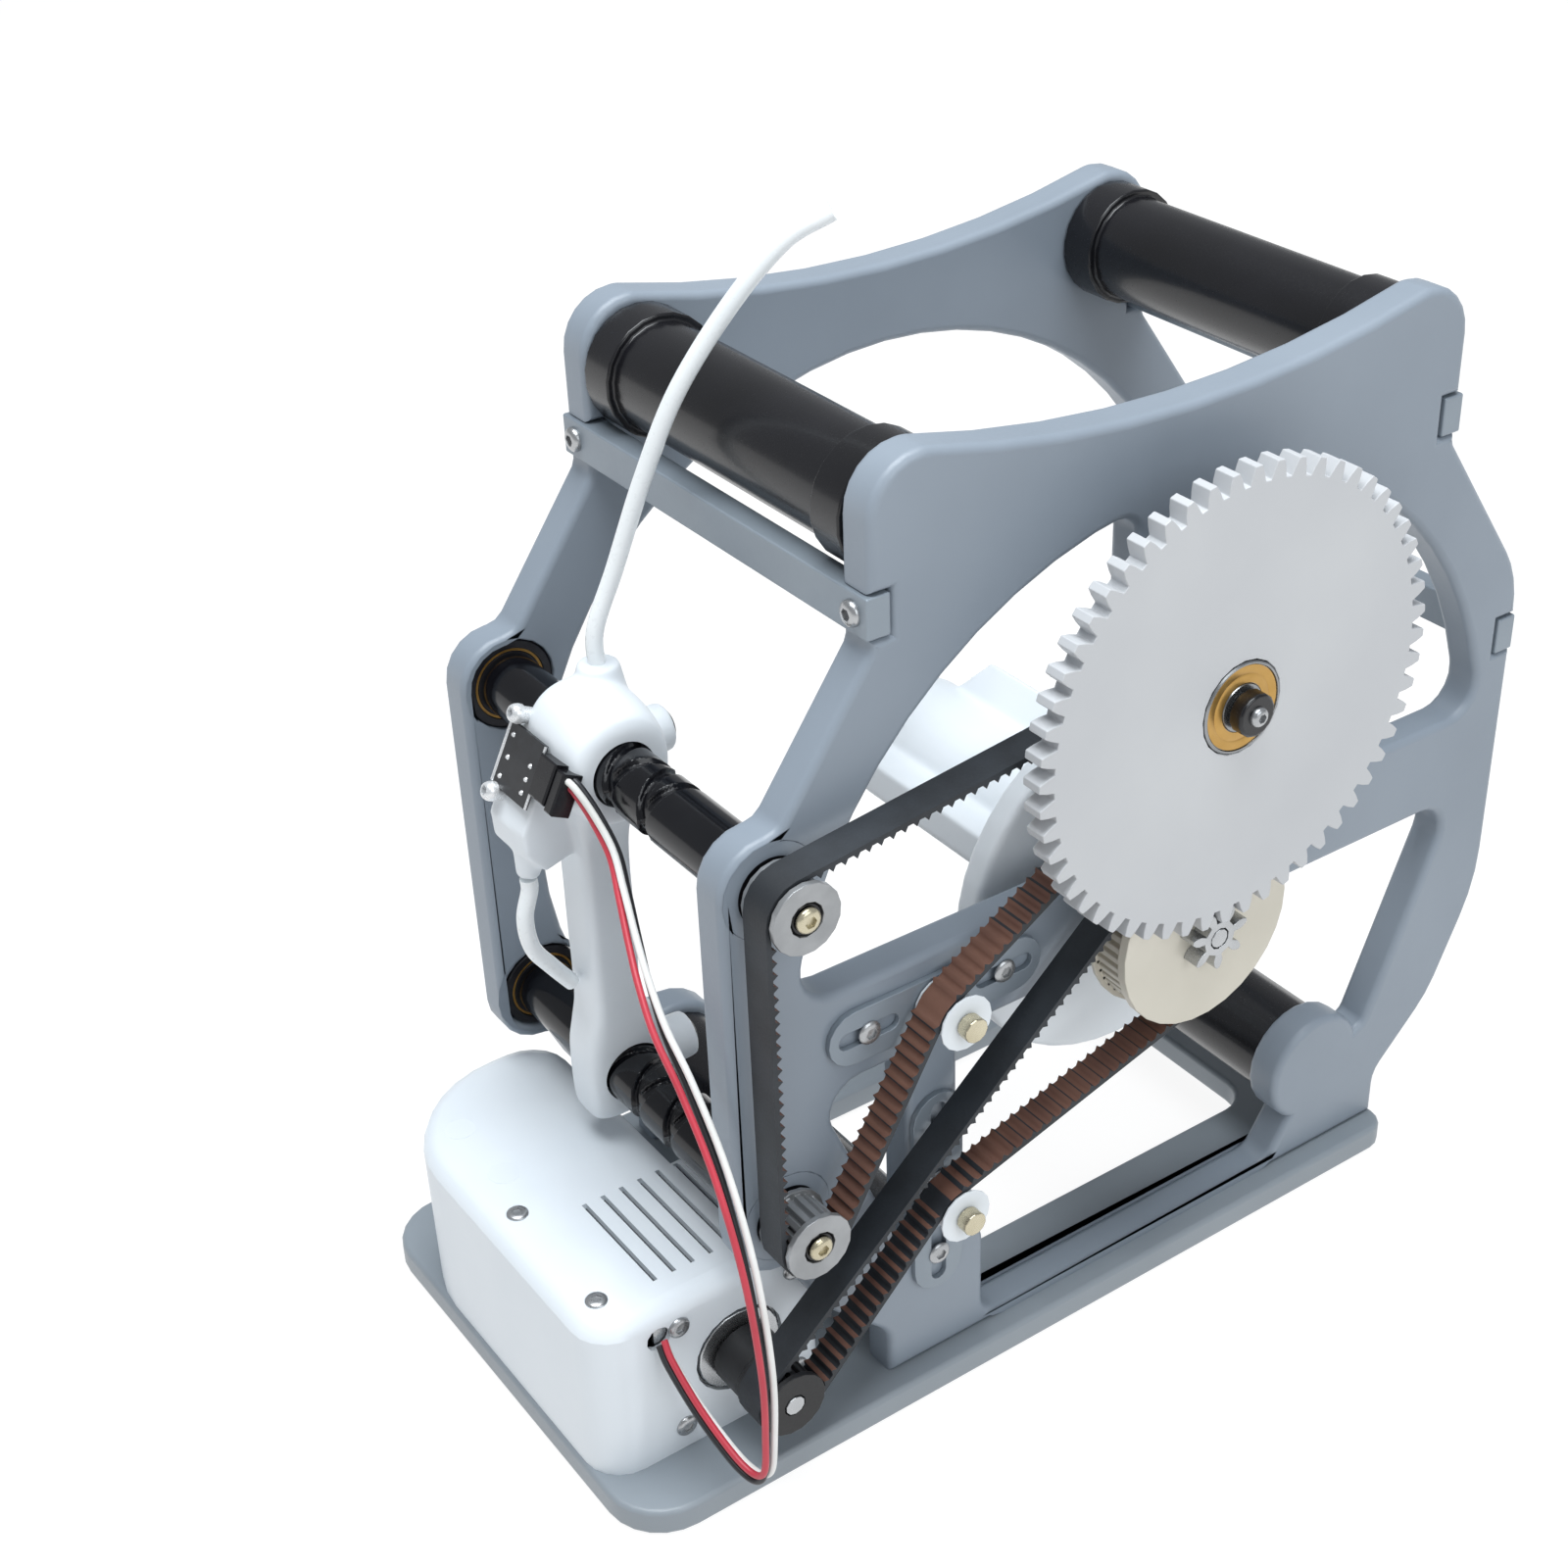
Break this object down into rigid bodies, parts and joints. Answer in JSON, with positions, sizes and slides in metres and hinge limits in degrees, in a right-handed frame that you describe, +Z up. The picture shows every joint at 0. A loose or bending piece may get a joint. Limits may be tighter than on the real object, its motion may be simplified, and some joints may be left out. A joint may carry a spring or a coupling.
{
  "type": "filament rewinder",
  "caption": "open-frame filament rewinder: motor and toothed belts turn a spool hub while a gear-reduced pair of self-reversing screws carries a filament guide to and fro",
  "frame": {"origin": "bottom centre of the box of the rigid pieces, on the surface it stands on", "axes": "+Z up; +X across, towards the belts and gear; -Y towards the filament guide and the electronics cover"},
  "size_m": [0.149, 0.2704, 0.279],
  "materials": {
    "painted_base": "painted, satin",
    "plate_metal": "grey, satin",
    "bar_metal": "brushed",
    "steel": "turned",
    "black_plastic": "black, semi-gloss",
    "bearing": "shield",
    "bolt_metal": "plated",
    "belt": "moulded",
    "cover_plastic": "smooth",
    "board_green": "board",
    "cable_red": "insulated",
    "white_plastic": "smooth",
    "cream_plastic": "smooth",
    "gear_plastic": "smooth",
    "pulley_metal": "turned",
    "screw_black": "blackened",
    "board_blue": "board",
    "tube_white": "smooth tube"
  },
  "bodies": {
    "frame": {"base_plate": "painted_base", "drive_side_plate": "plate_metal", "plain_side_plate": "plate_metal", "front_top_crossbar": "bar_metal", "rear_top_crossbar": "bar_metal", "rear_middle_crossbar": "bar_metal", "front_roller_axle": "steel", "rear_roller_axle": "steel", "lower_front_tube": "black_plastic", "lower_rear_tube": "black_plastic", "upper_screw_bearing_far": "bearing", "upper_screw_bearing_near": "bearing", "lower_screw_bearing_far": "bearing", "lower_screw_bearing_near": "bearing", "spool_bearing": "bearing", "gear_axle": "steel", "gear_axle_cap": "black_plastic", "upper_tensioner_bracket": "bar_metal", "lower_tensioner_bracket": "bar_metal", "upper_idler_bolt": "bolt_metal", "lower_idler_bolt": "bolt_metal", "traverse_belt": "belt", "drive_belt": "belt", "motor": "steel", "electronics_cover": "cover_plastic", "control_board": "board_green", "sensor_cable": "cable_red"},
    "spool_drive": {"spool_hub": "white_plastic", "spool_shaft": "steel", "driven_pulley": "cream_plastic", "pinion": "steel"},
    "gear": {"transfer_gear": "gear_plastic", "gear_bearing": "bearing", "axle_pulley": "pulley_metal"},
    "upper_screw": {"upper_traverse_screw": "screw_black", "upper_screw_pulley": "pulley_metal"},
    "lower_screw": {"lower_traverse_screw": "screw_black", "lower_screw_pulley": "pulley_metal"},
    "motor_rotor": {"motor_shaft": "steel", "motor_pulley": "black_plastic"},
    "upper_idler_body": {"upper_idler": "white_plastic"},
    "lower_idler_body": {"lower_idler": "white_plastic"},
    "front_roller_body": {"front_roller": "black_plastic"},
    "rear_roller_body": {"rear_roller": "black_plastic"},
    "carriage_body": {"carriage": "white_plastic", "sensor_board": "board_blue", "sensor_connector": "black_plastic", "feed_tube": "tube_white", "loop_tube": "tube_white"}
  },
  "joints": [
    {"name": "spool_spin", "type": "hinge", "parent": "frame", "child": "spool_drive", "pos_m": [-0.0095, 0.02075, 0.1106], "axis": [1, 0, 0], "continuous": true},
    {"name": "gear_spin", "type": "hinge", "parent": "frame", "child": "gear", "pos_m": [-0.0095, 0.02075, 0.17234], "axis": [1, 0, 0], "continuous": true},
    {"name": "upper_screw_spin", "type": "hinge", "parent": "frame", "child": "upper_screw", "pos_m": [-0.0095, -0.08865, 0.1589], "axis": [1, 0, 0], "continuous": true},
    {"name": "lower_screw_spin", "type": "hinge", "parent": "frame", "child": "lower_screw", "pos_m": [-0.0095, -0.08865, 0.0723], "axis": [1, 0, 0], "continuous": true},
    {"name": "motor_spin", "type": "hinge", "parent": "frame", "child": "motor_rotor", "pos_m": [-0.0095, -0.09705, 0.0296], "axis": [1, 0, 0], "continuous": true},
    {"name": "upper_idler_spin", "type": "hinge", "parent": "frame", "child": "upper_idler_body", "pos_m": [-0.0095, -0.04775, 0.1138], "axis": [1, 0, 0], "continuous": true},
    {"name": "lower_idler_spin", "type": "hinge", "parent": "frame", "child": "lower_idler_body", "pos_m": [-0.0095, -0.04775, 0.0585], "axis": [1, 0, 0], "continuous": true},
    {"name": "front_roller_spin", "type": "hinge", "parent": "frame", "child": "front_roller_body", "pos_m": [-0.0095, -0.04845, 0.228], "axis": [1, 0, 0], "continuous": true},
    {"name": "rear_roller_spin", "type": "hinge", "parent": "frame", "child": "rear_roller_body", "pos_m": [-0.0095, 0.08995, 0.228], "axis": [1, 0, 0], "continuous": true},
    {"name": "carriage_slide", "type": "slide", "parent": "frame", "child": "carriage_body", "axis": [1, 0, 0], "range_m": [-0.0135, 0.0355], "deforming": ["sensor_cable"]}
  ],
  "couplings": [
    {"joint": "gear_spin", "follows": "spool_spin", "ratio": -0.125},
    {"joint": "upper_screw_spin", "follows": "spool_spin", "ratio": -0.125},
    {"joint": "lower_screw_spin", "follows": "spool_spin", "ratio": -0.125},
    {"joint": "motor_spin", "follows": "spool_spin", "ratio": 3.125},
    {"joint": "upper_idler_spin", "follows": "spool_spin", "ratio": 0.1647},
    {"joint": "lower_idler_spin", "follows": "spool_spin", "ratio": -4.1156}
  ]
}
